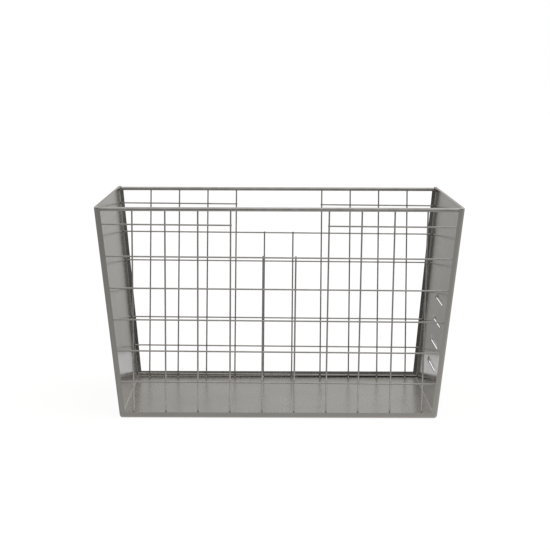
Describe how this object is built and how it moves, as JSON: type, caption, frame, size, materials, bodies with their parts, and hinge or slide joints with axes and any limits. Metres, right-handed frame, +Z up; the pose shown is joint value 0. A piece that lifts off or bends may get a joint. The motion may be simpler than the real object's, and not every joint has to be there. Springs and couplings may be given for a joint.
{
  "type": "cargo basket",
  "caption": "Deep flared steel basket: bent sheet floor and side walls, welded wire mesh front and rear with hand windows, round rim rods, open top.",
  "frame": {"origin": "centre of the flat underside of the floor pan", "axes": "+X across the basket to the side panel with the louvres, +Y from the front mesh to the rear mesh, +Z up to the open top"},
  "size_m": [0.5714, 0.4074, 0.34],
  "materials": {
    "sheet_steel": "bare cold-rolled sheet steel, smooth, semi-gloss with a fine rolling grain",
    "rod_steel": "bright drawn round rod, semi-gloss",
    "wire_steel": "bright drawn wire, resistance welded"
  },
  "bodies": {
    "root": {"left_side_panel": "sheet_steel", "right_side_panel": "sheet_steel", "floor_pan": "sheet_steel", "front_rim_rod": "rod_steel", "front_upright_wire_01": "wire_steel", "front_upright_wire_02": "wire_steel", "front_upright_wire_03": "wire_steel", "front_upright_wire_04": "wire_steel", "front_upright_wire_05": "wire_steel", "front_upright_wire_06": "wire_steel", "front_upright_wire_07": "wire_steel", "front_upright_wire_08": "wire_steel", "front_upright_wire_09": "wire_steel", "front_upright_wire_10": "wire_steel", "front_cross_wire_1_left": "wire_steel", "front_cross_wire_1_right": "wire_steel", "front_cross_wire_2": "wire_steel", "front_cross_wire_3": "wire_steel", "front_cross_wire_4": "wire_steel", "front_cross_wire_5": "wire_steel", "front_cross_wire_6": "wire_steel", "rear_rim_rod": "rod_steel", "rear_upright_wire_01": "wire_steel", "rear_upright_wire_02": "wire_steel", "rear_upright_wire_03": "wire_steel", "rear_upright_wire_04": "wire_steel", "rear_upright_wire_05": "wire_steel", "rear_upright_wire_06": "wire_steel", "rear_upright_wire_07": "wire_steel", "rear_upright_wire_08": "wire_steel", "rear_upright_wire_09": "wire_steel", "rear_upright_wire_10": "wire_steel", "rear_cross_wire_1_left": "wire_steel", "rear_cross_wire_1_right": "wire_steel", "rear_cross_wire_2": "wire_steel", "rear_cross_wire_3": "wire_steel", "rear_cross_wire_4": "wire_steel", "rear_cross_wire_5": "wire_steel", "rear_cross_wire_6": "wire_steel", "rear_cross_wire_7": "wire_steel"}
  },
  "joints": []
}
